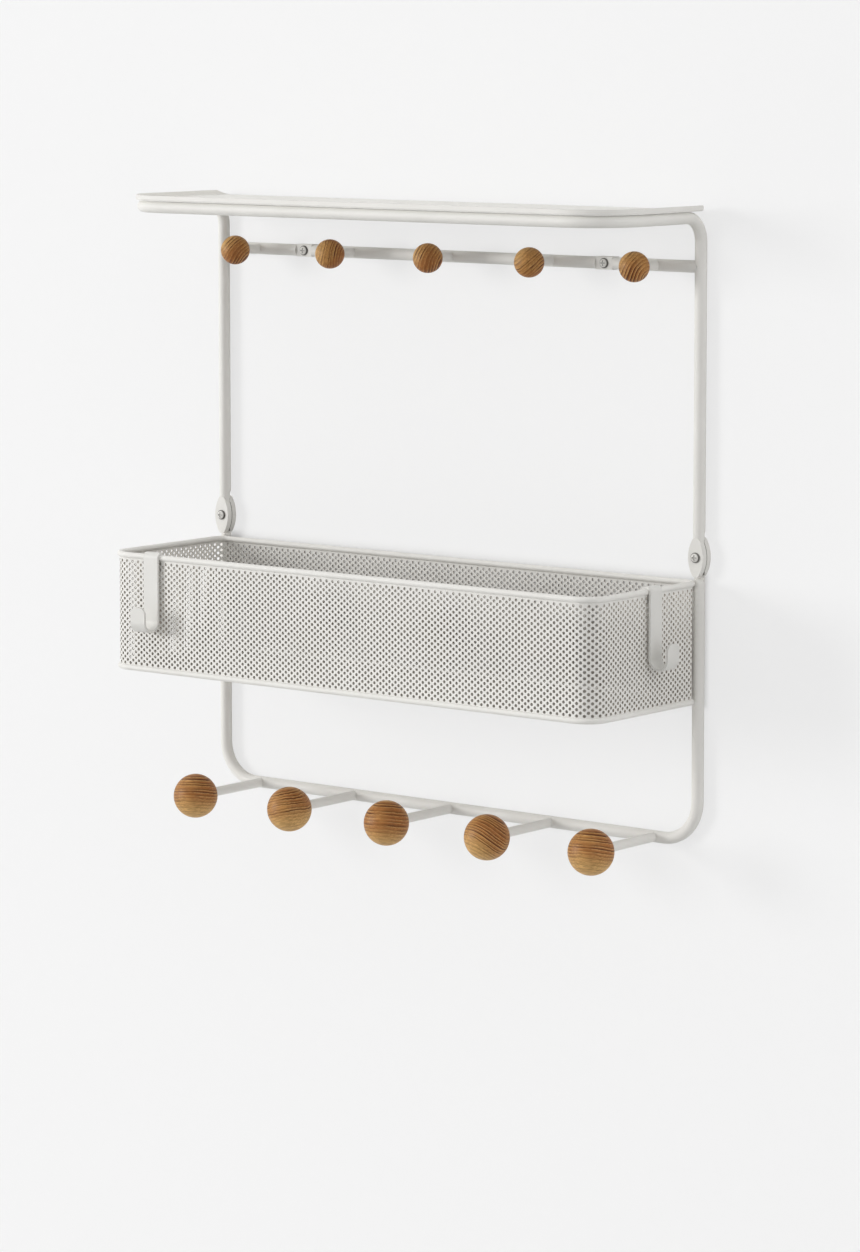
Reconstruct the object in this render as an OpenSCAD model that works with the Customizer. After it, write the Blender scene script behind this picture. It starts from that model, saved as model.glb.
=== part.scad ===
// Wall mail organizer: a bent tube frame in two lapped halves, with a shelf tray on top,
// a perforated basket across the middle, and two rows of pegs that end in wooden balls.
// The wall is the plane Y = 0 and the front faces -Y. Z = 0 is the middle of the upper bar.

/* [Tube frame] */
// Outer diameter of the frame tube
tube_d = 10; // [8:0.5:14]
// Wall of the frame tube
tube_wall = 1.5; // [1:0.25:2]
// Distance between the middles of the two posts
frame_w = 508; // [420:2:640]
// Gap between the back of the tube and the wall
wall_gap = 1; // [0.5:0.25:3]
// Colour of the powder coat
coat = [0.86, 0.85, 0.82];

/* [Shelf] */
// Height of the shelf tube above the upper bar, middle to middle
shelf_rise = 40; // [34:1:60]
// Distance from the wall to the middle of the shelf's front tube
shelf_depth = 136; // [110:2:200]
// Bend where a post turns forward into the shelf, at the tube's middle
shelf_bend_r = 20; // [14:1:26]
// Bend at the shelf's front corners, at the tube's middle
shelf_corner_r = 40; // [20:1:50]
// Thickness of the tray's sheet
tray_t = 0.8; // [0.6:0.1:1.5]
// Height of the tray's lip above the tube
lip_h = 4.8; // [3:0.2:10]
// How far the tray stands out past the tube
tray_overhang = 1; // [0.5:0.25:3]
// Outer bend between the tray's floor and its lip
lip_bend_r = 1.6; // [1.5:0.1:2.5]
// Radius of the tray's rear corners
tray_rear_r = 15; // [10:1:25]
// Length over which each end of the lip slopes down to the floor
lip_slope = 8; // [4:1:14]

/* [Upper bar] */
// Outer diameter of the bar
bar_d = 10; // [8:0.5:11]
// Wall of the bar
bar_wall = 1.5; // [1:0.25:2]
// Distance from the middle of a post to the nearest wall screw in the bar
bar_screw_in = 94; // [80:1:98]
// Length of each pressed pad
pad_l = 17; // [14:1:24]
// Height of each pressed pad
pad_h = 10.6; // [10:0.2:12]
// How far the pad's face lies behind the front of the bar
pad_recess = 1.6; // [1:0.2:2.4]

/* [Wooden balls] */
// Number of balls in each row
balls = 5; // [3:1:6]
// Distance from the middle of a post to the middle of the nearest balls
ball_in = 42; // [41:1:76]
// Diameter of the small upper balls
small_ball_d = 25; // [20:1:32]
// Distance from the wall to the middle of a small ball
small_ball_out = 39.7; // [34:0.1:60]
// Diameter of the large lower balls
large_ball_d = 38; // [30:1:50]
// Distance from the wall to the middle of a large ball
large_ball_out = 95.5; // [70:0.5:140]
// Diameter of the rods that carry the balls
rod_d = 8; // [6:0.5:8]
// Diameter of the spigot on the end of each rod
spigot_d = 5; // [4:0.5:5]
// Depth of the flat-bottomed recess that seats the rod in a ball
seat_depth = 1; // [0.5:0.25:2]
// Length of the spigot inside a small ball
small_spigot_l = 9; // [6:0.5:12]
// Length of the spigot inside a large ball
large_spigot_l = 15; // [10:0.5:18]
// Clearance all round a spigot or rod inside a ball
ball_fit = 0.1; // [0.05:0.05:0.3]

/* [Lapped eyes] */
// Depth of the two eye screws below the upper bar
eye_drop = 235.6; // [210:0.2:250]
// Width of each oval eye
eye_w = 14.8; // [13:0.2:18]
// Overall height of each oval eye
eye_h = 32.7; // [28:0.1:40]
// Radius of the oval's rounded ends
eye_tip_r = 4; // [3:0.25:4.5]
// How far the front eye stands out past the tube
eye_proud = 0.2; // [0.1:0.1:0.5]
// Gap between an eye and the rounded end of the other tube
lap_gap = 0.8; // [0.4:0.1:2]
// Bore for a wall screw
screw_bore_d = 5; // [4.8:0.1:5.4]

/* [Lower frame] */
// Depth of the bottom rail below the upper bar, middle to middle
rail_drop = 470; // [440:2:560]
// Bend where a post turns into the rail, at the tube's middle
rail_bend_r = 33; // [20:1:36]

/* [Basket] */
// How far each side wall stands outside the middle of its post
basket_over = 1.5; // [-1:0.25:3]
// Depth of the basket between the middles of its front and back walls
basket_depth = 142.2; // [110:0.2:200]
// Gap between the tip of an eye and the top of the basket's rim
basket_gap = 1.95; // [1.2:0.05:12]
// Height of the basket over both rims
basket_h = 101.6; // [60:0.1:130]
// Radius of the front corners, at the middle of the sheet
basket_front_r = 18.5; // [12:0.5:30]
// Radius of the rear corners, at the middle of the sheet
basket_rear_r = 10; // [6:0.5:15]
// Thickness of the perforated sheet
basket_t = 1; // [0.8:0.1:1.5]
// Diameter of the rim wire
rim_d = 5; // [4:0.25:6]
// Plain margin between a rim's middle and the nearest holes' middles
margin_h = 10; // [8:0.5:16]
// Diameter of each hole in the walls
hole_d = 11; // [6:0.5:12]
// Distance between holes along a row
hole_pitch = 29; // [26:0.5:40]
// Distance between one row and the next
row_pitch = 11.6; // [10:0.1:16]

/* [Hooks] */
// Width of the hook's strip
hook_w = 16; // [12:1:24]
// Thickness of the hook's strip
hook_t = 2; // [1.5:0.25:3]
// Height of the hook from its lowest point to the middle of the rim
hook_drop = 62.8; // [50:0.2:80]
// Clear width inside the hook's curl
hook_gap = 15; // [10:0.5:22]
// Height of the hook's tip above its lowest point
hook_tip_h = 22.2; // [18:0.2:32]
// Length of the leg inside the basket, below the middle of the rim
hook_leg = 12; // [8:1:20]
// Radius on the corners of the hook's tip
hook_tip_r = 6.5; // [3:0.5:7]
// Gap between the hook and the rim
hook_fit = 0.2; // [0.1:0.05:0.4]
// Distance from the basket's left wall to the middle of the front hook
front_hook_in = 49; // [42:0.5:200]
// Distance from the basket's front wall to the middle of the side hook
side_hook_in = 79.5; // [42:0.5:82]

/* [Screws] */
// Diameter of a screw over its threads
screw_d = 4.5; // [4:0.1:4.6]
// Diameter of the plain shank between a screw's head and the wall's face
shank_d = 3.6; // [3:0.1:3.9]
// Diameter of a screw's head
screw_head_d = 8.4; // [7.5:0.1:9.5]
// Height of a screw's head
screw_head_h = 2.6; // [2:0.1:3.2]
// Length of a screw behind the wall's face
screw_in_wall = 30; // [20:1:50]
// Length of a screw's point
screw_point = 5; // [3:0.5:8]
// Width of the slots in a screw's head
cross_w = 1.2; // [0.8:0.1:1.6]
// Length of the slots in a screw's head
cross_l = 4.6; // [3:0.1:5.5]
// Depth of the slots in a screw's head
cross_depth = 1.3; // [0.8:0.1:1.6]

/* [Hidden] */
$fn = 64;
wood = [0.62, 0.46, 0.29];
steel = [0.84, 0.83, 0.80];
tube_r = tube_d / 2;
bore_r = tube_r - tube_wall;
post_x = frame_w / 2;
post_y = -(wall_gap + tube_r);
front_face = post_y - tube_r;
lap_y = (front_face - eye_proud) / 2;
// The eye's flanks pass just inside its round ends
eye_tip_z = eye_h / 2 - eye_tip_r;
eye_flank_in = eye_tip_r - 0.03;
eye_flank_r = (pow(eye_tip_z, 2) + pow(eye_w / 2, 2) - pow(eye_flank_in, 2)) / (eye_w - 2 * eye_flank_in);
eye_flank_z = eye_tip_z * eye_flank_r / (eye_flank_r - eye_flank_in);
upper_end = -eye_drop + eye_h / 2 + lap_gap + tube_r;
lower_end = -eye_drop - eye_h / 2 - lap_gap - tube_r;
shelf_y = -shelf_depth;
tray_w = frame_w + tube_d + 2 * tray_overhang;
tray_y = shelf_y - tube_r - tray_overhang;
tray_z = shelf_rise + tube_r;
tray_corner_r = shelf_corner_r + tube_r + tray_overhang;
rail_z = -rail_drop;
rim_r = rim_d / 2;
basket_w = frame_w + 2 * basket_over;
// The rim's rear corners meet the fronts of the posts
basket_back = post_y + basket_rear_r -
    sqrt(pow(basket_rear_r + rim_r + tube_r, 2) - pow(basket_rear_r - basket_over, 2));
basket_front = basket_back - basket_depth;
basket_drop = eye_drop + eye_h / 2 + basket_gap;
top_rim_z = -basket_drop - rim_r;
bottom_rim_z = -basket_drop - basket_h + rim_r;
hook_in = rim_r + hook_fit;
hook_out = hook_in + hook_t;
curl_r = hook_gap / 2 + hook_t;
bar_screw_x = post_x - bar_screw_in;
ball_pitch = (frame_w - 2 * ball_in) / (balls - 1);
ball_xs = [for (i = [0 : balls - 1]) (i - (balls - 1) / 2) * ball_pitch];
sides = ["left", "right"];
rows = [for (k = ["rod_", "ball_"], level = ["upper_", "lower_"], i = [1 : balls]) str(level, k, i)];

// A straight run of round bar along +Z
module rod(r, length) {
    cylinder(r = r, h = length);
}

// A quarter bend in the XZ plane that leaves the origin along +Z and turns to +X
module bend(r, bend_r) {
    translate([bend_r, 0, 0]) rotate([90, 0, 0]) rotate([0, 0, 90])
        rotate_extrude(angle = 90) translate([bend_r, 0]) circle(r);
}

// Half of the upper tube and shelf loop, on the +X side, as a solid bar of radius r
module upper_half(r, low) {
    side_l = shelf_depth + post_y - shelf_bend_r - shelf_corner_r;
    translate([post_x, post_y, low]) rod(r, shelf_rise - shelf_bend_r - low);
    translate([post_x, post_y, shelf_rise - shelf_bend_r]) rotate([0, 0, -90]) bend(r, shelf_bend_r);
    translate([post_x, post_y - shelf_bend_r, shelf_rise]) rotate([90, 0, 0]) rod(r, side_l);
    translate([post_x, shelf_y + shelf_corner_r, shelf_rise]) rotate([90, 0, 0]) rotate([0, 0, 180])
        bend(r, shelf_corner_r);
    translate([0, shelf_y, shelf_rise]) rotate([0, 90, 0]) rod(r, post_x - shelf_corner_r);
}

// Half of the lower tube, on the +X side, as a solid bar of radius r
module lower_half(r, high) {
    translate([post_x, post_y, rail_z + rail_bend_r]) rod(r, high - rail_z - rail_bend_r);
    translate([post_x, post_y, rail_z + rail_bend_r]) rotate([180, 0, 180]) bend(r, rail_bend_r);
    translate([0, post_y, rail_z]) rotate([0, 90, 0]) rod(r, post_x - rail_bend_r);
}

module both_sides() {
    children();
    mirror([1, 0, 0]) children();
}

// The oval outline of an eye, in X and Z: two long flanks that run into round ends
module eye_outline() {
    offset_x = eye_flank_r - eye_w / 2;
    intersection() {
        translate([offset_x, 0]) circle(eye_flank_r);
        translate([-offset_x, 0]) circle(eye_flank_r);
        square([eye_w * 2, 2 * eye_flank_z], center = true);
    }
    for (s = [-1, 1]) translate([0, s * eye_tip_z]) circle(eye_tip_r);
}

// An eye plate between two depths, at the screw on the +X side
module eye_plate(from_y, to_y) {
    translate([post_x, to_y, -eye_drop]) rotate([90, 0, 0]) linear_extrude(to_y - from_y) eye_outline();
}

// The half of the tube that runs on into an eye
module eye_neck(low, high, from_y, to_y) {
    intersection() {
        translate([post_x, post_y, low]) rod(tube_r, high - low);
        translate([post_x - tube_d, from_y, low - 1]) cube([2 * tube_d, to_y - from_y, high - low + 2]);
    }
}

// The rounded end of the other half of the tube, closed downwards for up = -1 and upwards for up = 1
module eye_dome(z, up, from_y, to_y) {
    intersection() {
        translate([post_x, post_y, z]) rotate_extrude() intersection() {
            circle(tube_r);
            translate([0, up > 0 ? 0 : -tube_r]) square(tube_r);
        }
        translate([post_x - tube_d, from_y, z - tube_d]) cube([2 * tube_d, to_y - from_y, 2 * tube_d]);
    }
}

module screw_bore() {
    translate([post_x, front_face - tube_d, -eye_drop]) rotate([-90, 0, 0]) rod(screw_bore_d / 2, 4 * tube_d);
}

// The upper tube: left eye, up the wall, round the shelf and down to the right eye
module upper_frame() {
    color(coat) both_sides() difference() {
        union() {
            upper_half(tube_r, upper_end);
            eye_neck(-eye_drop, upper_end, front_face - 1, lap_y);
            eye_dome(upper_end, -1, lap_y, 0);
            eye_plate(front_face - eye_proud, lap_y);
        }
        upper_half(bore_r, upper_end);
        screw_bore();
    }
}

// The lower tube: left eye, down behind the basket, along the rail and up to the right eye
module lower_frame() {
    color(coat) both_sides() difference() {
        union() {
            lower_half(tube_r, lower_end);
            eye_neck(lower_end, -eye_drop, lap_y, 0);
            eye_dome(lower_end, 1, front_face - 1, lap_y);
            eye_plate(lap_y, 0);
        }
        lower_half(bore_r, lower_end);
        screw_bore();
    }
}

// A closed path round a rectangle with round corners. The child is its section:
// x points out of the loop and y points up. With open_back, the back run is left out.
module loop(w, front, back, front_r, rear_r) {
    side_l = back - front - front_r - rear_r;
    translate([w / 2, back - rear_r, 0]) rotate([90, 0, 0]) linear_extrude(side_l) children();
    translate([-w / 2, front + front_r, 0]) rotate([90, 0, 180]) linear_extrude(side_l) children();
    translate([w / 2 - front_r, front, 0]) rotate([90, 0, -90]) linear_extrude(w - 2 * front_r) children();
    translate([rear_r - w / 2, back, 0]) rotate([90, 0, 90]) linear_extrude(w - 2 * rear_r) children();
    translate([w / 2 - front_r, front + front_r, 0]) rotate([0, 0, -90])
        rotate_extrude(angle = 90) translate([front_r, 0]) children();
    translate([front_r - w / 2, front + front_r, 0]) rotate([0, 0, 180])
        rotate_extrude(angle = 90) translate([front_r, 0]) children();
    translate([w / 2 - rear_r, back - rear_r, 0])
        rotate_extrude(angle = 90) translate([rear_r, 0]) children();
    translate([rear_r - w / 2, back - rear_r, 0]) rotate([0, 0, 90])
        rotate_extrude(angle = 90) translate([rear_r, 0]) children();
}

// The flat shape inside such a loop
module loop_area(w, front, back, front_r, rear_r) {
    translate([-w / 2, front + front_r]) square([w, back - front - front_r - rear_r]);
    translate([front_r - w / 2, front]) square([w - 2 * front_r, front_r]);
    translate([rear_r - w / 2, back - rear_r]) square([w - 2 * rear_r, rear_r]);
    for (s = [-1, 1]) {
        translate([s * (w / 2 - front_r), front + front_r]) circle(front_r);
        translate([s * (w / 2 - rear_r), back - rear_r]) circle(rear_r);
    }
}

// The lip's section, from the edge of the floor up to its top, bent with a round outer edge
module lip_section() {
    difference() {
        union() {
            translate([-tray_t, lip_bend_r]) square([tray_t, lip_h - lip_bend_r]);
            intersection() {
                translate([-lip_bend_r, lip_bend_r]) circle(lip_bend_r);
                translate([-lip_bend_r, 0]) square(lip_bend_r);
            }
        }
        translate([-lip_bend_r, lip_bend_r]) circle(lip_bend_r - tray_t);
    }
}

// The sheet tray that lies on the shelf loop, open towards the wall
module shelf_tray() {
    back = -wall_gap;
    flat_w = tray_w - 2 * lip_bend_r;
    color(coat) translate([0, 0, tray_z]) difference() {
        union() {
            loop(tray_w, tray_y, back, tray_corner_r, tray_rear_r) lip_section();
            linear_extrude(tray_t) loop_area(flat_w, tray_y + lip_bend_r, back - lip_bend_r,
                tray_corner_r - lip_bend_r, tray_rear_r - lip_bend_r);
        }
        translate([-tray_w, 0, 0]) rotate([90, 0, 90]) linear_extrude(2 * tray_w) polygon([
            [back - lip_bend_r - lip_slope, lip_h + 0.01],
            [back - lip_bend_r, tray_t],
            [back + 1, tray_t],
            [back + 1, lip_h + 0.01],
        ]);
    }
}

// The round bar between the posts, coped to them, with a flat pad at each wall screw
module upper_bar() {
    bar_r = bar_d / 2;
    pad_front = post_y - bar_r + pad_recess;
    color(coat) difference() {
        union() {
            translate([-post_x, post_y, 0]) rotate([0, 90, 0]) difference() {
                rod(bar_r, frame_w);
                translate([0, 0, -1]) rod(bar_r - bar_wall, frame_w + 2);
            }
            for (s = [-1, 1]) translate([s * bar_screw_x - pad_l / 2, pad_front, -pad_h / 2])
                cube([pad_l, -pad_front, pad_h]);
        }
        for (s = [-1, 1]) {
            translate([s * post_x, post_y, -tube_d]) rod(tube_r, 2 * tube_d);
            translate([s * bar_screw_x - pad_l / 2, pad_front - tube_d, -tube_d])
                cube([pad_l, tube_d, 2 * tube_d]);
            translate([s * bar_screw_x, pad_front - 1, 0]) rotate([-90, 0, 0])
                rod(screw_bore_d / 2, tube_d + 2);
        }
    }
}

// A rod that carries a ball, coped to the bar of radius carrier_r behind it
module ball_rod(x, z, ball_out, ball_r, spigot_l, carrier_r) {
    seat = ball_seat(ball_r);
    color(coat) difference() {
        translate([x, post_y, z]) rotate([90, 0, 0]) union() {
            rod(rod_d / 2, ball_out + post_y - seat);
            rod(spigot_d / 2, ball_out + post_y - seat + spigot_l);
        }
        translate([x - rod_d, post_y, z]) rotate([0, 90, 0]) rod(carrier_r, 2 * rod_d);
    }
}

// Distance from the middle of a ball to the flat that the rod's end meets
function ball_seat(ball_r) = sqrt(pow(ball_r, 2) - pow(rod_d / 2, 2)) - seat_depth;

// A turned ball with its seat and blind bore at the back
module ball(x, z, ball_out, ball_r, spigot_l) {
    seat = ball_seat(ball_r);
    color(wood) translate([x, -ball_out, z]) rotate([-90, 0, 0]) difference() {
        sphere(ball_r);
        translate([0, 0, seat]) rod(rod_d / 2 + ball_fit, ball_r);
        translate([0, 0, seat - spigot_l - ball_fit]) rod(spigot_d / 2 + ball_fit, spigot_l + ball_r);
    }
}

module upper_rod(i) {
    ball_rod(ball_xs[i], 0, small_ball_out, small_ball_d / 2, small_spigot_l, bar_d / 2);
}

module lower_rod(i) {
    ball_rod(ball_xs[i], rail_z, large_ball_out, large_ball_d / 2, large_spigot_l, tube_r);
}

module upper_ball(i) {
    ball(ball_xs[i], 0, small_ball_out, small_ball_d / 2, small_spigot_l);
}

module lower_ball(i) {
    ball(ball_xs[i], rail_z, large_ball_out, large_ball_d / 2, large_spigot_l);
}

// Rows of staggered holes along one wall, drilled along -Y from the middle of the wall.
// The wall lies at Y = 0, and usable is the straight length that holds can stand in.
module hole_rows(usable) {
    band = top_rim_z - bottom_rim_z - 2 * margin_h;
    count = floor(band / row_pitch);
    for (r = [0 : count]) {
        z = bottom_rim_z + margin_h + (band - count * row_pitch) / 2 + r * row_pitch;
        even = floor((usable / 2 - hole_d / 2) / hole_pitch);
        odd = floor((usable / 2 - hole_d / 2) / hole_pitch - 0.5);
        xs = r % 2 == 0 ? [for (k = [-even : even]) k * hole_pitch]
            : [for (k = [-odd - 1 : odd]) (k + 0.5) * hole_pitch];
        for (x = xs) translate([x, basket_t, z]) rotate([90, 0, 0]) rod(hole_d / 2, 2 * basket_t);
    }
}

// The perforated band that forms the basket's four walls
module basket_wall() {
    side_l = basket_depth - basket_front_r - basket_rear_r;
    color(coat) difference() {
        loop(basket_w, basket_front, basket_back, basket_front_r, basket_rear_r)
            translate([-basket_t / 2, bottom_rim_z]) square([basket_t, top_rim_z - bottom_rim_z]);
        translate([0, basket_front, 0]) hole_rows(basket_w - 2 * basket_front_r);
        translate([0, basket_back, 0]) hole_rows(basket_w - 2 * basket_front_r);
        for (s = [-1, 1])
            translate([s * basket_w / 2, basket_front + basket_front_r + side_l / 2, 0]) rotate([0, 0, 90])
                hole_rows(side_l);
    }
}

// The basket's flat floor, held inside the bottom rim
module basket_floor() {
    color(coat) translate([0, 0, bottom_rim_z - basket_t / 2]) linear_extrude(basket_t)
        loop_area(basket_w - rim_d, basket_front + rim_r, basket_back - rim_r,
            basket_front_r - rim_r, basket_rear_r - rim_r);
}

// The rim wire's section, slotted for the edge of the sheet
module rim_section(slot_side) {
    difference() {
        circle(rim_r);
        translate([-basket_t / 2, slot_side > 0 ? 0 : -rim_r]) square([basket_t, rim_r]);
    }
}

module basket_rim(z, slot_side) {
    color(coat) translate([0, 0, z])
        loop(basket_w, basket_front, basket_back, basket_front_r, basket_rear_r) rim_section(slot_side);
}

module basket_top_rim() {
    basket_rim(top_rim_z, -1);
}

module basket_bottom_rim() {
    basket_rim(bottom_rim_z, 1);
}

// A strip hook that hangs over a rim whose middle is the origin. It faces +X.
module hook() {
    curl_x = hook_in + curl_r;
    curl_z = curl_r - hook_drop;
    tip_h = hook_tip_h - curl_r;
    color(coat) {
        rotate([90, 0, 0]) linear_extrude(hook_w, center = true) {
            difference() {
                circle(hook_out);
                circle(hook_in);
                translate([-2 * hook_out, -4 * hook_out]) square(4 * hook_out);
            }
            translate([hook_in, curl_z]) square([hook_t, -curl_z]);
            difference() {
                translate([curl_x, curl_z]) circle(curl_r);
                translate([curl_x, curl_z]) circle(curl_r - hook_t);
                translate([curl_x - 2 * curl_r, curl_z]) square(4 * curl_r);
            }
        }
        translate([curl_x + curl_r, 0, curl_z]) rotate([0, -90, 0]) linear_extrude(hook_t)
            rounded_end(tip_h, hook_tip_r);
        translate([-hook_in, 0, 0]) rotate([0, 90, 180]) linear_extrude(hook_t)
            rounded_end(hook_leg, hook_t);
    }
}

// A strip end of length l along +X, hook_w wide, with its two far corners rounded
module rounded_end(l, r) {
    translate([0, -hook_w / 2]) square([l - r, hook_w]);
    translate([0, r - hook_w / 2]) square([l, hook_w - 2 * r]);
    for (s = [-1, 1]) translate([l - r, s * (hook_w / 2 - r)]) circle(r);
}

module front_hook() {
    translate([front_hook_in - basket_w / 2, basket_front, top_rim_z - hook_fit]) rotate([0, 0, -90]) hook();
}

module side_hook() {
    translate([basket_w / 2, basket_front + side_hook_in, top_rim_z - hook_fit]) hook();
}

// A pan-head wall screw whose head bears on the plane Y = seat_y. Its threaded part, kept plain,
// is all behind the wall's face.
module wall_screw(x, z, seat_y) {
    head_r = screw_head_d / 2;
    crown_r = (pow(head_r, 2) + pow(screw_head_h, 2)) / (2 * screw_head_h) * 1.2;
    color(steel) translate([x, seat_y, z]) rotate([-90, 0, 0]) {
        difference() {
            rotate_extrude() intersection() {
                translate([0, -screw_head_h]) square([head_r, screw_head_h]);
                translate([0, crown_r - screw_head_h]) circle(crown_r);
            }
            for (a = [0, 90]) rotate([0, 0, a])
                translate([-cross_l / 2, -cross_w / 2, -screw_head_h - 1]) cube([cross_l, cross_w, cross_depth + 1]);
        }
        rod(shank_d / 2, -seat_y);
        translate([0, 0, -seat_y]) rod(screw_d / 2, screw_in_wall - screw_point);
        translate([0, 0, screw_in_wall - screw_point - seat_y])
            cylinder(r1 = screw_d / 2, r2 = screw_d / 10, h = screw_point);
    }
}

module eye_screw(side) {
    wall_screw(side * post_x, -eye_drop, front_face - eye_proud);
}

module bar_screw(side) {
    wall_screw(side * bar_screw_x, 0, post_y - bar_d / 2 + pad_recess);
}

upper_frame();
lower_frame();
shelf_tray();
upper_bar();
basket_wall();
basket_floor();
basket_top_rim();
basket_bottom_rim();
front_hook();
side_hook();
eye_screw(-1);  // left_eye_screw
eye_screw(1);  // right_eye_screw
bar_screw(-1);  // left_bar_screw
bar_screw(1);  // right_bar_screw
for (i = [0 : balls - 1]) {
    upper_rod(i);
    lower_rod(i);
    upper_ball(i);
    lower_ball(i);
}
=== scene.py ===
import math

import bpy
from mathutils import Matrix, Vector


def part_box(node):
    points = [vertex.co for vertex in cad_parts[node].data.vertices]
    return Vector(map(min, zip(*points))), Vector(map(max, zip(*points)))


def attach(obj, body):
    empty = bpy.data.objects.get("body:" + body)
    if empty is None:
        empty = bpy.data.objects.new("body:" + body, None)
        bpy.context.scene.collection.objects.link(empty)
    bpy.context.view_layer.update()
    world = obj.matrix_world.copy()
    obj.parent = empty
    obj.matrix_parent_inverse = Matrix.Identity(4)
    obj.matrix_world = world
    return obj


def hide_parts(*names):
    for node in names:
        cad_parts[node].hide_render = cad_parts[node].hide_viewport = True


# The organizer as it is packed: bent steel tube, shelf tray, basket, rods, balls, hooks and screws,
# all in metres. The wall is the plane Y = 0, the front faces -Y, and Z = 0 is the upper bar's middle.
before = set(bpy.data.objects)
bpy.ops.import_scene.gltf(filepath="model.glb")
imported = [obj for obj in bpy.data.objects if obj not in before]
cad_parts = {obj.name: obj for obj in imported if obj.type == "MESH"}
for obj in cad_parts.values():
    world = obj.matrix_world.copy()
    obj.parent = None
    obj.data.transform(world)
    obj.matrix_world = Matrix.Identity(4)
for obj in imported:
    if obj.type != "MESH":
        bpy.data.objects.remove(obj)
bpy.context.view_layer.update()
scene = bpy.context.scene

# Camera: a long lens, a little above the upper bar and well round to the organizer's right.
# Its shift puts the organizer above the middle of the tall picture.
VIEW_TURN = math.radians(38.312)
VIEW_LIFT = math.radians(6.068)
VIEW_DISTANCE = 3.79698
VIEW_AIM = Vector((-0.028976, 0.0, -0.201457))
PICTURE_HIGH = 1252.0
LENS_PIXELS = 4464.393
MIDDLE_ROW = 491.833
SENSOR_HIGH = 36.0
away = Vector((
    math.sin(VIEW_TURN) * math.cos(VIEW_LIFT),
    -math.cos(VIEW_TURN) * math.cos(VIEW_LIFT),
    math.sin(VIEW_LIFT),
))
camera_data = bpy.data.cameras.new("camera")
camera_data.sensor_fit = "VERTICAL"
camera_data.sensor_height = SENSOR_HIGH
camera_data.lens = LENS_PIXELS / PICTURE_HIGH * SENSOR_HIGH
camera_data.shift_y = -(PICTURE_HIGH / 2 - MIDDLE_ROW) / PICTURE_HIGH
camera_data.clip_start = 0.01
camera_data.clip_end = 100.0
camera = bpy.data.objects.new("camera", camera_data)
scene.collection.objects.link(camera)
camera.location = VIEW_AIM + away * VIEW_DISTANCE
camera.rotation_euler = (-away).to_track_quat("-Z", "Y").to_euler()
scene.camera = camera

# Room wall and floor: smooth pale paint. The camera sees the paint nearly evenly lit, so that only
# the shadows close to the organizer stay on it. Both show from their fronts alone, which leaves the
# back and the underside open to view, and light gets in behind what touches the wall.
scene.view_settings.view_transform = "Standard"
PAINT = (0.887, 0.887, 0.887, 1.0)
FLOOR_PAINT = (0.55, 0.55, 0.55, 1.0)
GLOW = (0.915, 0.915, 0.915, 1.0)
EVEN_LIGHT = 0.72
# Behind the basket the wall keeps its own light, and shows as grey through the holes
BEHIND_MIDDLE = -0.305
BEHIND_HALF_WIDTH = 0.250
BEHIND_HALF_HEIGHT = 0.046
BEHIND_SOFT = 0.012
TOUCHING = 0.002
WALL_GAP = 0.0005
WALL_REACH = 6.0
WALL_TOP = 5.0
FLOOR_LEVEL = -1.6
FLOOR_REACH = 8.0


class NodeMaker:
    """Makes the nodes of one tree. A value given to it is a constant or another node's output."""

    def __init__(self, tree):
        self.tree = tree

    def put(self, value, socket):
        if isinstance(value, bpy.types.NodeSocket):
            self.tree.links.new(value, socket)
        else:
            socket.default_value = value

    def add(self, kind, values, **settings):
        node = self.tree.nodes.new(kind)
        for setting, choice in settings.items():
            setattr(node, setting, choice)
        for socket, value in values.items():
            self.put(value, node.inputs[socket])
        return node

    def place(self):
        """The point on the surface, in the organizer's own frame."""
        return self.add("ShaderNodeTexCoord", {}).outputs["Object"]

    def axes(self, vector):
        return self.add("ShaderNodeSeparateXYZ", {"Vector": vector}).outputs

    def math(self, operation, *values):
        return self.add("ShaderNodeMath", dict(enumerate(values)), operation=operation).outputs["Value"]

    def vector(self, operation, first, second):
        values = {0: first, 1: second}
        return self.add("ShaderNodeVectorMath", values, operation=operation).outputs["Vector"]

    def length(self, vector):
        return self.add("ShaderNodeVectorMath", {0: vector}, operation="LENGTH").outputs["Value"]

    def ramp(self, value, start, end, low=0.0, high=1.0, shape="LINEAR"):
        """Low where the value is at the start, high at the end, and between them in between."""
        values = {"Value": value, "From Min": start, "From Max": end, "To Min": low, "To Max": high}
        return self.add("ShaderNodeMapRange", values, interpolation_type=shape).outputs["Result"]

    def soft_ramp(self, value, start, end, low=0.0, high=1.0):
        return self.ramp(value, start, end, low, high, "SMOOTHSTEP")

    def noise(self, vector, fineness, detail):
        values = {"Vector": vector, "Scale": fineness, "Detail": detail}
        return self.add("ShaderNodeTexNoise", values).outputs["Fac"]

    def tinted(self, share, colour, tint):
        values = {"Factor": share, "A": colour, "B": tint}
        return self.add("ShaderNodeMix", values, data_type="RGBA").outputs["Result"]

    def mixed_shader(self, share, first, second):
        return self.add("ShaderNodeMixShader", {0: share, 1: first, 2: second}).outputs["Shader"]


def new_material(name):
    material = bpy.data.materials.new(name)
    material.use_nodes = True
    material.node_tree.nodes.clear()
    return material, NodeMaker(material.node_tree)


def away_from(make, along, middle, reach):
    """A mask that is 0 up to a reach from the middle and 1 a little further away."""
    distance = make.math("ABSOLUTE", make.math("SUBTRACT", along, middle))
    return make.soft_ramp(distance, reach, reach + BEHIND_SOFT)


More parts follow.
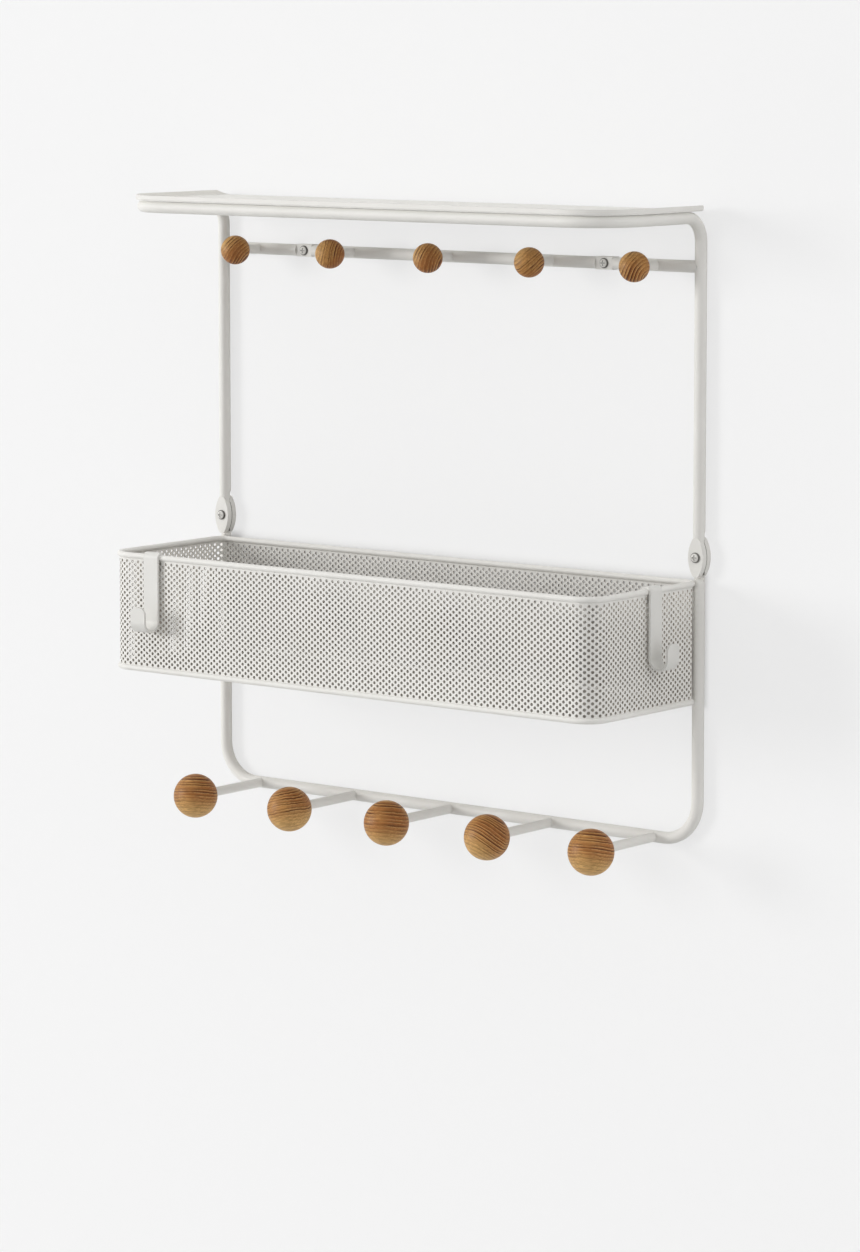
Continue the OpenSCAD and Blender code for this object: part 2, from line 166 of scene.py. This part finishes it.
def room_paint(name, colour):
    material, make = new_material(name)
    paint = make.add("ShaderNodeBsdfDiffuse", {"Color": colour}).outputs["BSDF"]
    glow = make.add("ShaderNodeEmission", {"Color": GLOW}).outputs["Emission"]
    clear = make.add("ShaderNodeBsdfTransparent", {}).outputs["BSDF"]
    ray = make.add("ShaderNodeLightPath", {}).outputs
    spot = make.axes(make.place())
    beside_basket = away_from(make, spot["X"], 0.0, BEHIND_HALF_WIDTH)
    above_or_below_it = away_from(make, spot["Z"], BEHIND_MIDDLE, BEHIND_HALF_HEIGHT)
    clear_of_basket = make.math("MAXIMUM", beside_basket, above_or_below_it)
    evenness = make.math("MULTIPLY", clear_of_basket, EVEN_LIGHT)
    seen = make.math("MULTIPLY", ray["Is Camera Ray"], evenness)
    from_behind = make.add("ShaderNodeNewGeometry", {}).outputs["Backfacing"]
    touching = make.math("LESS_THAN", ray["Ray Length"], TOUCHING)
    open_to_light = make.math("MAXIMUM", from_behind, touching)
    front = make.mixed_shader(seen, paint, glow)
    surface = make.mixed_shader(open_to_light, front, clear)
    make.add("ShaderNodeOutputMaterial", {"Surface": surface})
    return material


def room_plane(name, corners, material):
    mesh = bpy.data.meshes.new(name)
    mesh.from_pydata(corners, [], [(0, 1, 2, 3)])
    mesh.materials.append(material)
    plane = bpy.data.objects.new(name, mesh)
    scene.collection.objects.link(plane)


room_plane(
    "room_wall",
    [
        (-WALL_REACH, WALL_GAP, FLOOR_LEVEL),
        (WALL_REACH, WALL_GAP, FLOOR_LEVEL),
        (WALL_REACH, WALL_GAP, WALL_TOP),
        (-WALL_REACH, WALL_GAP, WALL_TOP),
    ],
    room_paint("wall_paint", PAINT),
)
room_plane(
    "room_floor",
    [
        (-FLOOR_REACH, -FLOOR_REACH, FLOOR_LEVEL),
        (FLOOR_REACH, -FLOOR_REACH, FLOOR_LEVEL),
        (FLOOR_REACH, FLOOR_REACH, FLOOR_LEVEL),
        (-FLOOR_REACH, FLOOR_REACH, FLOOR_LEVEL),
    ],
    room_paint("floor_paint", FLOOR_PAINT),
)

# Daylight: a pale sky, brighter overhead and on the far right, and dimmer round the camera. One wide
# soft window far to the left grazes the wall and throws short shadows to the right.
SKY_LEVEL = 0.57
# Each part's direction, the cosines where it starts and is full, and what it adds
SKY_PARTS = [
    ((0.0, 0.0, 1.0), 0.1, 0.95, 0.35),
    ((1.0, 0.0, 0.0), 0.35, 1.0, 1.04),
    ((0.62, -0.78, 0.0), 0.55, 0.97, -0.36),
]
world = bpy.data.worlds.new("daylight")
scene.world = world
world.use_nodes = True
world.node_tree.nodes.clear()
make = NodeMaker(world.node_tree)
look = make.add("ShaderNodeTexCoord", {}).outputs["Generated"]
brightness = SKY_LEVEL
for direction, start, full, amount in SKY_PARTS:
    toward = make.add("ShaderNodeVectorMath", {0: look, 1: direction}, operation="DOT_PRODUCT")
    part = make.soft_ramp(toward.outputs["Value"], start, full, high=amount)
    brightness = make.math("ADD", brightness, part)
sky = make.add("ShaderNodeBackground", {"Color": (1.0, 1.0, 1.0, 1.0), "Strength": brightness})
backdrop = make.add("ShaderNodeBackground", {"Color": PAINT})
seen = make.add("ShaderNodeLightPath", {}).outputs["Is Camera Ray"]
surface = make.mixed_shader(seen, sky.outputs["Background"], backdrop.outputs["Background"])
make.add("ShaderNodeOutputWorld", {"Surface": surface})

WINDOW_AT = Vector((-6.17, -5.50, 1.0))
WINDOW_SIZE = 3.0
WINDOW_WATTS = 372.0
window_data = bpy.data.lights.new("window", "AREA")
window_data.shape = "DISK"
window_data.size = WINDOW_SIZE
window_data.energy = WINDOW_WATTS
window = bpy.data.objects.new("window", window_data)
scene.collection.objects.link(window)
window.location = WINDOW_AT
window.rotation_euler = (WINDOW_AT - VIEW_AIM).to_track_quat("Z", "Y").to_euler()

# Powder coat on all the steel: a warm off-white, baked on as one thick matte skin. It has a very
# fine orange peel and a faint cloudiness, and it rounds over every cut edge.
COAT_TINT = (0.775, 0.762, 0.728, 1.0)
COAT_DEEP_TINT = (0.748, 0.734, 0.698, 1.0)
# Low and high roughness
MATTE = (0.46, 0.60)
DULL = (0.50, 0.64)
COAT_SPECULAR = 0.4
PEEL_FINENESS = 900.0
PEEL_DEPTH = 0.35
SHEET_PEEL_DEPTH = 0.30
PEEL_RISE = 0.0002
CLOUD_FINENESS = 22.0
CLOUD_SPREAD = (0.3, 0.7)
EDGE_ROUND = 0.0004
EDGE_SAMPLES = 4


def new_group(name, inputs, outputs):
    """A node group, with its maker, the outputs of its input node and the inputs of its output node."""
    group = bpy.data.node_groups.new(name, "ShaderNodeTree")
    for sockets, way in ((inputs, "INPUT"), (outputs, "OUTPUT")):
        for socket, kind in sockets.items():
            group.interface.new_socket(socket, in_out=way, socket_type=kind)
    make = NodeMaker(group)
    given = make.add("NodeGroupInput", {}).outputs
    result = make.add("NodeGroupOutput", {}).inputs
    return group, make, given, result


def powder_skin():
    group, make, given, result = new_group(
        "powder_skin",
        {
            "Peel Fineness": "NodeSocketFloat",
            "Tint": "NodeSocketColor",
            "Deep Tint": "NodeSocketColor",
            "Low Roughness": "NodeSocketFloat",
            "High Roughness": "NodeSocketFloat",
        },
        {"Color": "NodeSocketColor", "Roughness": "NodeSocketFloat", "Height": "NodeSocketFloat"},
    )
    place = make.place()
    peel = make.noise(place, given["Peel Fineness"], detail=2.0)
    cloud = make.ramp(make.noise(place, CLOUD_FINENESS, detail=3.0), *CLOUD_SPREAD)
    roughness = make.ramp(peel, 0.0, 1.0, given["Low Roughness"], given["High Roughness"])
    make.put(make.tinted(cloud, given["Deep Tint"], given["Tint"]), result["Color"])
    make.put(roughness, result["Roughness"])
    make.put(peel, result["Height"])
    return group


POWDER_SKIN = powder_skin()


def coated_steel(name, fineness=PEEL_FINENESS, roughness=MATTE, depth=PEEL_DEPTH,
                 edge_round=EDGE_ROUND, tint=COAT_TINT, deep_tint=COAT_DEEP_TINT):
    """A coated material, with its maker, the coat's shader and the coat's own colour."""
    material, make = new_material(name)
    skin = make.add(
        "ShaderNodeGroup",
        {
            "Peel Fineness": fineness,
            "Tint": tint,
            "Deep Tint": deep_tint,
            "Low Roughness": roughness[0],
            "High Roughness": roughness[1],
        },
        node_tree=POWDER_SKIN,
    ).outputs
    raised = {"Strength": depth, "Distance": PEEL_RISE, "Height": skin["Height"]}
    if edge_round:
        eased = make.add("ShaderNodeBevel", {"Radius": edge_round}, samples=EDGE_SAMPLES)
        raised["Normal"] = eased.outputs["Normal"]
    coat = make.add(
        "ShaderNodeBsdfPrincipled",
        {
            "Base Color": skin["Color"],
            "Roughness": skin["Roughness"],
            "Specular IOR Level": COAT_SPECULAR,
            "Normal": make.add("ShaderNodeBump", raised).outputs["Normal"],
        },
    )
    make.add("ShaderNodeOutputMaterial", {"Surface": coat.outputs["BSDF"]})
    return material, make, coat, skin["Color"]


def finish(node, material):
    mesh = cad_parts[node].data
    mesh.materials.clear()
    mesh.materials.append(material)


powder_coat, _, _, _ = coated_steel("powder_coat")

# Tube frame: two lengths of 10 mm tube. The upper one runs from eye to eye round the shelf, the
# lower one round the bottom rail. Their flattened eyes lap, and a thin line of painted shade darkens
# the seam between them.
CREVICE_LIGHT_TINT = (0.95, 0.94, 0.91, 1.0)
# Painted light in the crevice under the tray: heights where it starts and is full, below and above
TRAY_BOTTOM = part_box("shelf_tray")[0].z
CREVICE_LIGHT_FROM_BELOW = (TRAY_BOTTOM - 0.0014, TRAY_BOTTOM - 0.0005)
CREVICE_LIGHT_FROM_ABOVE = (TRAY_BOTTOM + 0.00075, TRAY_BOTTOM + 0.00055)
# The painted shade line where the eyes lap, and how far above and below the screw it reaches
LAP_SHADE_TINT = (0.20, 0.188, 0.165, 1.0)
LAP_Y = -0.0056
LAP_HALF = 0.0004
EYE_REACH = 0.0145


def painted_crevice_light(make, coat, colour):
    """A pale line where the tray lies on its tube, lifting the crevice's shade: painted light."""
    height = make.axes(make.place())["Z"]
    from_below = make.ramp(height, *CREVICE_LIGHT_FROM_BELOW)
    from_above = make.ramp(height, *CREVICE_LIGHT_FROM_ABOVE)
    crevice_light = make.math("MULTIPLY", from_below, from_above)
    make.put(make.tinted(crevice_light, colour, CREVICE_LIGHT_TINT), coat.inputs["Base Color"])


frame_coat, make, coat, colour = coated_steel("frame_coat")
eye_screw_low, eye_screw_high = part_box("left_eye_screw")
eye_middle = (eye_screw_low.z + eye_screw_high.z) / 2
spot = make.axes(make.place())
in_lap = make.math("COMPARE", spot["Y"], LAP_Y, LAP_HALF)
in_eye = make.math("COMPARE", spot["Z"], eye_middle, EYE_REACH)
lap_shaded = make.tinted(make.math("MULTIPLY", in_lap, in_eye), colour, LAP_SHADE_TINT)
painted_crevice_light(make, coat, lap_shaded)
for node in ("upper_frame", "lower_frame"):
    finish(node, frame_coat)

# Shelf tray and cross bar: sheet steel on top of the tube, with its edge turned up into a low lip,
# and a round bar between the posts that is pressed flat where the screws go.
tray_coat, make, coat, colour = coated_steel("tray_coat")
# The tray's edge over the tube gets the same painted light.
painted_crevice_light(make, coat, colour)
finish("shelf_tray", tray_coat)
finish("upper_bar", powder_coat)

# Rods: short lengths of round bar, welded square to the upper bar and to the bottom rail. Five carry
# the small balls and five longer ones the large balls.
for row in ("upper", "lower"):
    for number in range(1, 6):
        finish(f"{row}_rod_{number}", powder_coat)

# Basket band: one strip of 1 mm sheet, punched all over with small staggered holes, then bent round
# two large front corners and two tight rear ones. Plain margins run into the wire rims.
SHEET = 0.001
FRONT_BEND = 0.0185
REAR_BEND = 0.010
HOLE_R = 0.00132
# Rows are staggered by half a pitch, and lie half a pitch apart
HALF_PITCH = 0.00315
HALF_ROW = 0.0025
HOLE_ROWS = 36
LOWEST_ROW = -0.349
ARC_STEPS = 3
# Corners that agree to a tenth of a micrometre are one point
STEPS_A_METRE = 1e7
SHARP_ANGLE = math.radians(40)
band_low, band_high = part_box("basket_wall")
band_left = band_low.x + SHEET / 2
band_right = band_high.x - SHEET / 2
band_front = band_low.y + SHEET / 2
band_back = band_high.y - SHEET / 2


def straight(start, end):
    """A straight run of the band's middle line, as its length and a function of the way along it."""
    start, end = Vector(start), Vector(end)
    along = (end - start).normalized()
    outward = Vector((along.y, -along.x))
    return (end - start).length, lambda way: (start + along * way, outward)


def bend(x, y, radius, start_turn):
    """A quarter bend of the band's middle line about the centre (x, y)."""
    def point(way):
        turn = start_turn + way / radius
        outward = Vector((math.cos(turn), math.sin(turn)))
        return Vector((x, y)) + outward * radius, outward
    return radius * math.pi / 2, point


front_bend_y = band_front + FRONT_BEND
rear_bend_y = band_back - REAR_BEND
front_bend_xs = (band_left + FRONT_BEND, band_right - FRONT_BEND)
rear_bend_xs = (band_left + REAR_BEND, band_right - REAR_BEND)
# From the middle of the back, anticlockwise as seen from above
BAND_RUNS = [
    straight((0, band_back), (rear_bend_xs[0], band_back)),
    bend(rear_bend_xs[0], rear_bend_y, REAR_BEND, math.pi / 2),
    straight((band_left, rear_bend_y), (band_left, front_bend_y)),
    bend(front_bend_xs[0], front_bend_y, FRONT_BEND, math.pi),
    straight((front_bend_xs[0], band_front), (front_bend_xs[1], band_front)),
    bend(front_bend_xs[1], front_bend_y, FRONT_BEND, -math.pi / 2),
    straight((band_right, front_bend_y), (band_right, rear_bend_y)),
    bend(rear_bend_xs[1], rear_bend_y, REAR_BEND, 0.0),
    straight((rear_bend_xs[1], band_back), (0, band_back)),
]
BAND_LENGTH = sum(length for length, _ in BAND_RUNS)
BAND_COLUMNS = 2 * round(BAND_LENGTH / HALF_PITCH / 2)
COLUMN = BAND_LENGTH / BAND_COLUMNS


def on_band(way):
    for length, point in BAND_RUNS[:-1]:
        if way <= length:
            return point(way)
        way -= length
    return BAND_RUNS[-1][1](way)


def cell_outline(column, row):
    """The outline of one cell between four lattice points, and the arcs where a hole bites in."""
    first_z = LOWEST_ROW + (row - 1) * HALF_ROW
    corners = [(column, row), (column + 1, row), (column + 1, row + 1), (column, row + 1)]
    outline, bites = [], []
    for quarter, (across, up) in enumerate(corners):
        way = across * COLUMN
        z = first_z + (up - row) * HALF_ROW
        if (across + up) % 2 or not 1 <= up <= HOLE_ROWS:
            outline.append((way, z))
            continue
        turns = [math.pi / 2 * (quarter + 1 - step / ARC_STEPS) for step in range(ARC_STEPS + 1)]
        bite = [(way + HOLE_R * math.cos(turn), z + HOLE_R * math.sin(turn)) for turn in turns]
        outline += bite
        bites += list(zip(bite, bite[1:]))
    return outline, bites


punched_coat, _, _, _ = coated_steel("punched_coat", depth=SHEET_PEEL_DEPTH, edge_round=0.0)

# Inside the basket the steel gets painted shade, darkest deep down, and the walls of the holes get
# a darker tint that is painted shade too. The floor's top gets the shade, its underside doesn't.
INSIDE_FINENESS = 700.0
INSIDE_SHADE_TINT = (0.265, 0.243, 0.215, 1.0)
INSIDE_SHADE_STARTS = -0.272
INSIDE_SHADE_FULL = -0.306
INSIDE_SHADE_MOST = 0.80
HOLE_FINENESS = 1200.0
HOLE_SHADE_TINT = (0.470, 0.430, 0.375, 1.0)
HOLE_SHADE_DEEP_TINT = (0.370, 0.330, 0.280, 1.0)
inner_coat, make, coat, colour = coated_steel(
    "inner_coat", INSIDE_FINENESS, DULL, SHEET_PEEL_DEPTH, edge_round=0.0
)
floor_low, floor_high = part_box("basket_floor")
height = make.axes(make.place())["Z"]
inside_shade = make.soft_ramp(height, INSIDE_SHADE_STARTS, INSIDE_SHADE_FULL, high=INSIDE_SHADE_MOST)
above_floor = make.math("GREATER_THAN", height, (floor_low.z + floor_high.z) / 2)
inside_shaded = make.tinted(make.math("MULTIPLY", inside_shade, above_floor), colour, INSIDE_SHADE_TINT)
make.put(inside_shaded, coat.inputs["Base Color"])
hole_shade_coat, _, _, _ = coated_steel(
    "hole_shade_coat",
    HOLE_FINENESS,
    DULL,
    SHEET_PEEL_DEPTH,
    edge_round=0.0,
    tint=HOLE_SHADE_TINT,
    deep_tint=HOLE_SHADE_DEEP_TINT,
)
BAND_COATS = [punched_coat, inner_coat, hole_shade_coat]


def punched_strip(name, first_column, last_column):
    points, faces, coats, known = [], [], [], {}

    def point(way, z, side):
        key = (round(way * STEPS_A_METRE), round(z * STEPS_A_METRE), side)
        if key not in known:
            known[key] = len(points)
            middle, outward = on_band(way)
            spot = middle + outward * (side * SHEET / 2)
            points.append((spot.x, spot.y, z))
        return known[key]

    def both_faces(outline):
        faces.append([point(way, z, 1) for way, z in outline])
        coats.append(BAND_COATS.index(punched_coat))
        faces.append([point(way, z, -1) for way, z in reversed(outline)])
        coats.append(BAND_COATS.index(inner_coat))

    def edge_face(start, end, coat):
        faces.append([point(*start, -1), point(*end, -1), point(*end, 1), point(*start, 1)])
        coats.append(BAND_COATS.index(coat))

    low_line = LOWEST_ROW - HALF_ROW
    high_line = LOWEST_ROW + HOLE_ROWS * HALF_ROW
    for column in range(first_column, last_column):
        for row in range(HOLE_ROWS + 1):
            outline, bites = cell_outline(column, row)
            both_faces(outline)
            for start, end in bites:
                edge_face(start, end, hole_shade_coat)
        near, far = column * COLUMN, (column + 1) * COLUMN
        both_faces([(near, band_low.z), (far, band_low.z), (far, low_line), (near, low_line)])
        both_faces([(near, high_line), (far, high_line), (far, band_high.z), (near, band_high.z)])
        edge_face((near, band_low.z), (far, band_low.z), punched_coat)
        edge_face((far, band_high.z), (near, band_high.z), punched_coat)
    mesh = bpy.data.meshes.new(name)
    mesh.from_pydata(points, [], faces)
    mesh.polygons.foreach_set("use_smooth", [True] * len(mesh.polygons))
    mesh.set_sharp_from_angle(angle=SHARP_ANGLE)
    for material in BAND_COATS:
        mesh.materials.append(material)
    mesh.polygons.foreach_set("material_index", coats)
    strip = bpy.data.objects.new(name, mesh)
    scene.collection.objects.link(strip)
    return strip


STRIPS = ["back_left", "left_front", "right_front", "back_right"]
for number, corner in enumerate(STRIPS):
    strip = punched_strip(
        f"punched_band_{corner}",
        BAND_COLUMNS * number // len(STRIPS),
        BAND_COLUMNS * (number + 1) // len(STRIPS),
    )
    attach(strip, "root")
    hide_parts("basket_wall")

# Basket rims and floor: 5 mm wire, slotted over both edges of the band, and a plain sheet inside
# the lower one. Two loose strip hooks hang over the upper rim, tinted slightly greyer than the rest.
HOOK_TINT = (0.715, 0.705, 0.675, 1.0)
HOOK_DEEP_TINT = (0.680, 0.669, 0.638, 1.0)
SMOOTHER = (0.42, 0.55)
finish("basket_floor", inner_coat)
for node in ("basket_top_rim", "basket_bottom_rim"):
    finish(node, powder_coat)
hook_coat, _, _, _ = coated_steel(
    "hook_coat", roughness=SMOOTHER, tint=HOOK_TINT, deep_tint=HOOK_DEEP_TINT
)
for node in ("front_hook", "side_hook"):
    finish(node, hook_coat)

# Wall screws: cross-head screws whose domed heads are painted to match, a little glossier than the
# coat. Painted shade darkens the head's edge, and a little of it lies down in the cross.
HEAD_SHADE_TINT = (0.130, 0.125, 0.115, 1.0)
HEAD_FINENESS = 1500.0
GLOSSIER = (0.30, 0.40)
HEAD_PEEL_DEPTH = 0.20
# Ways out from the screw's axis and depths below the head's top, where each mask starts and is full
EDGE_OUT = (0.0029, 0.0034)
EDGE_DEEP = (0.0009, 0.0013)
CROSS_OUT = (0.0027, 0.0025)
CROSS_DEEP = (0.0005, 0.0007)
HEAD_DEEP = (0.0029, 0.0027)
CROSS_SHADE_SHARE = 0.42


def painted_head(name, head_top):
    """Paint for a screw whose head's top is at the point head_top."""
    material, make, coat, colour = coated_steel(
        name, HEAD_FINENESS, GLOSSIER, HEAD_PEEL_DEPTH, edge_round=0.0
    )
    from_top = make.vector("SUBTRACT", make.place(), head_top)
    out = make.length(make.vector("MULTIPLY", from_top, (1.0, 0.0, 1.0)))
    deep = make.axes(from_top)["Y"]
    # Painted shade: darker round the head's edge and down in the cross.
    edge = make.math("MULTIPLY", make.ramp(out, *EDGE_OUT), make.ramp(deep, *EDGE_DEEP))
    in_cross = make.ramp(deep, *CROSS_DEEP, high=CROSS_SHADE_SHARE)
    cross = make.math("MULTIPLY", make.ramp(out, *CROSS_OUT), in_cross)
    painted_shade = make.math("MULTIPLY", make.math("MAXIMUM", edge, cross), make.ramp(deep, *HEAD_DEEP))
    make.put(make.tinted(painted_shade, colour, HEAD_SHADE_TINT), coat.inputs["Base Color"])
    return material


for node in ("left_eye_screw", "right_eye_screw", "left_bar_screw", "right_bar_screw"):
    screw_low, screw_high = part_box(node)
    middle = (screw_low + screw_high) / 2
    finish(node, painted_head(f"{node}_paint", Vector((middle.x, screw_low.y, middle.z))))

# Balls: turned from a ring-porous hardwood and oiled. Each comes from another part of the log, so
# its growth rings cross it in their own direction, with dark late wood beside pale early wood.
PALE_WOOD = (0.730, 0.455, 0.170, 1.0)
WARM_WOOD = (0.490, 0.235, 0.067, 1.0)
RED_WOOD = (0.385, 0.138, 0.033, 1.0)
DARK_WOOD = (0.075, 0.020, 0.004, 1.0)
PORE_WOOD = (0.085, 0.034, 0.012, 1.0)
OILED = 0.5
OIL_SPECULAR = 0.25
GRAIN_DEPTH = 0.3
GRAIN_RISE = 0.0001
RING_SWAY = 0.0030
SWAY_FINENESS = 60.0
CURL_FINENESS = 260.0
YEARS_FINENESS = 0.45
YEARS_VARIETY = 1.3
# Shares of a year in which the late wood begins and ends, and the early wood and its pores end
LATE_BEGINS = (0.40, 0.76)
LATE_ENDS = (0.88, 1.0)
EARLY_ENDS = (0.0, 0.30)
PORES_END = (0.0, 0.45)
LATE_PORES = 0.2
LINE_RISE = 0.35
SOFTEST_YEAR = 0.55
SOFTEST_PATCH = 0.35
PATCH_FINENESS = 75.0
PATCH_SPREAD = (0.38, 0.60)
RED_FINENESS = 48.0
RED_SPREAD = (0.38, 0.62)
REDDEST = 0.85
SAPWOOD_BLEND = 0.009
PALEST = 0.85
LINES_FADE = (0.2, 0.85)
FIBRE_FINENESS = 800.0
FIBRE_SPREAD = (0.35, 0.65)
FIBRE_DARKNESS = 0.30
PORE_FINENESS = 2400.0
PORE_SPREAD = (0.62, 0.72)
PORE_DARKNESS = 0.5


def growth_rings():
    """Rings about the log's heart, which is the X axis, from the way to a point from the heart."""
    group, make, given, result = new_group(
        "growth_rings",
        {
            "From Heart": "NodeSocketVector",
            "Ring Width": "NodeSocketFloat",
            "Sapwood Start": "NodeSocketFloat",
            "Curl": "NodeSocketFloat",
            "Sapwood Lines": "NodeSocketFloat",
            "Pale": "NodeSocketColor",
            "Warm": "NodeSocketColor",
            "Red": "NodeSocketColor",
            "Dark": "NodeSocketColor",
            "Pore": "NodeSocketColor",
        },
        {"Color": "NodeSocketColor", "Height": "NodeSocketFloat"},
    )

    def drawn_out(along, across=1.0):
        """The way from the heart, shortened along the fibres so that noise on it is drawn out."""
        return make.vector("MULTIPLY", given["From Heart"], (along, across, across))

    def centred(value):
        return make.math("SUBTRACT", value, 0.5)

    # How far out from the heart, with slow sway and the curl of the fibres
    sway = centred(make.noise(drawn_out(along=0.5), SWAY_FINENESS, detail=2.0))
    ripple = centred(make.noise(drawn_out(along=1.0, across=0.6), CURL_FINENESS, detail=1.0))
    swayed = make.math("MULTIPLY", sway, RING_SWAY)
    curled = make.math("MULTIPLY", ripple, given["Curl"])
    moved = make.math("ADD", swayed, curled)
    out_way = make.math("ADD", make.length(drawn_out(along=0.0)), moved)

    # Years, of which some grew more than others and some have harder late wood
    even_years = make.math("DIVIDE", out_way, given["Ring Width"])
    good_years = make.add(
        "ShaderNodeTexNoise",
        {"W": even_years, "Scale": YEARS_FINENESS, "Detail": 1.0},
        noise_dimensions="1D",
    )
    growth = make.math("MULTIPLY", good_years.outputs["Fac"], YEARS_VARIETY)
    years = make.math("ADD", even_years, growth)
    part_year = make.math("FRACT", years)
    whole_year = make.math("FLOOR", years)
    hard_years = make.add("ShaderNodeTexWhiteNoise", {"W": whole_year}, noise_dimensions="1D")
    hard_year = make.soft_ramp(hard_years.outputs["Value"], 0.0, 1.0, SOFTEST_YEAR, 1.0)
    patch = make.noise(drawn_out(along=0.5), PATCH_FINENESS, detail=2.0)
    hard_patch = make.soft_ramp(patch, *PATCH_SPREAD, SOFTEST_PATCH, 1.0)
    hardness = make.math("MULTIPLY", hard_year, hard_patch)

    # Late wood is a dark line at the end of a year, and early wood a pale one at its start
    late_begun = make.soft_ramp(part_year, *LATE_BEGINS)
    late_left = make.soft_ramp(part_year, *LATE_ENDS, 1.0, 0.0)
    line = make.math("MULTIPLY", make.math("MULTIPLY", late_begun, late_left), hardness)
    early_left = make.soft_ramp(part_year, *EARLY_ENDS, 1.0, 0.0)
    early = make.math("MULTIPLY", early_left, hardness)

    # Heartwood with red blotches, which turns into pale sapwood where the lines are fainter
    from_sap = make.math("SUBTRACT", make.math("ADD", out_way, moved), given["Sapwood Start"])
    sap = make.soft_ramp(from_sap, -SAPWOOD_BLEND, SAPWOOD_BLEND, 0.0, PALEST)
    blotch = make.noise(drawn_out(along=0.5), RED_FINENESS, detail=1.0)
    red_blotch = make.soft_ramp(blotch, *RED_SPREAD, 0.0, REDDEST)
    heartwood = make.tinted(red_blotch, given["Warm"], given["Red"])
    ground = make.tinted(sap, heartwood, given["Pale"])
    lightened = make.tinted(early, ground, given["Pale"])
    lines_left = make.soft_ramp(sap, *LINES_FADE, 1.0, given["Sapwood Lines"])
    ringed = make.tinted(make.math("MULTIPLY", line, lines_left), lightened, given["Dark"])

    # Fine fibres all over, and open pores, most of them in the early wood
    fibre = make.noise(drawn_out(along=0.10), FIBRE_FINENESS, detail=3.0)
    fibre_line = make.soft_ramp(fibre, *FIBRE_SPREAD, 0.0, FIBRE_DARKNESS)
    fibred = make.tinted(fibre_line, ringed, given["Dark"])
    pore = make.noise(drawn_out(along=0.12), PORE_FINENESS, detail=0.0)
    dark_pore = make.soft_ramp(pore, *PORE_SPREAD, 0.0, PORE_DARKNESS)
    pores_left = make.soft_ramp(part_year, *PORES_END, 1.0, LATE_PORES)
    open_pore = make.math("MULTIPLY", dark_pore, pores_left)
    make.put(make.tinted(open_pore, fibred, given["Pore"]), result["Color"])
    proud_line = make.math("MULTIPLY", line, LINE_RISE)
    make.put(make.math("SUBTRACT", proud_line, open_pore), result["Height"])
    return group


GROWTH_RINGS = growth_rings()


def oiled_wood(name, heart, turn, ring_width, sapwood_start, curl, sapwood_lines):
    """Wood whose heart runs through the point heart, along X turned by the angles of turn."""
    material, make = new_material(name)
    offset = make.vector("SUBTRACT", make.place(), heart)
    turned = make.add(
        "ShaderNodeVectorRotate",
        {"Vector": offset, "Rotation": turn},
        rotation_type="EULER_XYZ",
        invert=True,
    )
    rings = make.add(
        "ShaderNodeGroup",
        {
            "From Heart": turned.outputs["Vector"],
            "Ring Width": ring_width,
            "Sapwood Start": sapwood_start,
            "Curl": curl,
            "Sapwood Lines": sapwood_lines,
            "Pale": PALE_WOOD,
            "Warm": WARM_WOOD,
            "Red": RED_WOOD,
            "Dark": DARK_WOOD,
            "Pore": PORE_WOOD,
        },
        node_tree=GROWTH_RINGS,
    ).outputs
    raised = {"Strength": GRAIN_DEPTH, "Distance": GRAIN_RISE, "Height": rings["Height"]}
    wood = make.add(
        "ShaderNodeBsdfPrincipled",
        {
            "Base Color": rings["Color"],
            "Roughness": OILED,
            "Specular IOR Level": OIL_SPECULAR,
            "Normal": make.add("ShaderNodeBump", raised).outputs["Normal"],
        },
    )
    make.add("ShaderNodeOutputMaterial", {"Surface": wood.outputs["BSDF"]})
    return material


# How each ball was cut: the tilt of its ring lines (degrees, as they rise to the right), the angle
# between fibres and lines, the heart's height above the ball's middle, the ring width, how far
# past the ball's middle, from the heart, the pale sapwood starts, and the curl of the fibres
BALL_CUTS = {
    "lower_ball_1": (-1, 12, 0.055, 0.0027, 0.006, 0.0004),
    "lower_ball_2": (14, 25, 0.048, 0.0026, 0.004, 0.0016),
    "lower_ball_3": (-4, 8, 0.065, 0.0030, 0.008, 0.0004),
    "lower_ball_4": (-24, 30, 0.034, 0.0024, 0.009, 0.0003),
    "lower_ball_5": (-5, 12, 0.055, 0.0027, 0.005, 0.0004),
    "upper_ball_1": (45, 70, -0.030, 0.0026, 0.008, 0.0003),
    "upper_ball_2": (75, 60, -0.040, 0.0024, 0.008, 0.0010),
    "upper_ball_3": (63, 75, -0.030, 0.0027, 0.009, 0.0003),
    "upper_ball_4": (38, 40, -0.045, 0.0028, 0.008, 0.0004),
    "upper_ball_5": (50, 85, -0.017, 0.0027, 0.009, 0.0002),
}
# How much of the dark lines stays in the sapwood
LARGE_BALL_LINES = 0.35
SMALL_BALL_LINES = 0.65
view_right = Vector((math.cos(VIEW_TURN), math.sin(VIEW_TURN), 0.0))
toward_viewer = Vector((math.sin(VIEW_TURN), -math.cos(VIEW_TURN), 0.0))
for node, (tilt, fibre_turn, heart_rise, ring_width, sapwood_past, curl) in BALL_CUTS.items():
    ball_low, ball_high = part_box(node)
    tilt, fibre_turn = math.radians(tilt), math.radians(fibre_turn)
    line = view_right * math.cos(tilt) + Vector((0.0, 0.0, math.sin(tilt)))
    rise = Vector((0.0, 0.0, math.cos(tilt))) - view_right * math.sin(tilt)
    fibre = line * math.cos(fibre_turn) + toward_viewer * math.sin(fibre_turn)
    grain = Matrix((fibre, rise, fibre.cross(rise))).transposed().to_euler()
    heart = (ball_low + ball_high) / 2 + rise * heart_rise
    sapwood_start = abs(heart_rise) + sapwood_past
    sapwood_lines = LARGE_BALL_LINES if node.startswith("lower") else SMALL_BALL_LINES
    wood = oiled_wood(f"{node}_wood", heart, grain, ring_width, sapwood_start, curl, sapwood_lines)
    finish(node, wood)
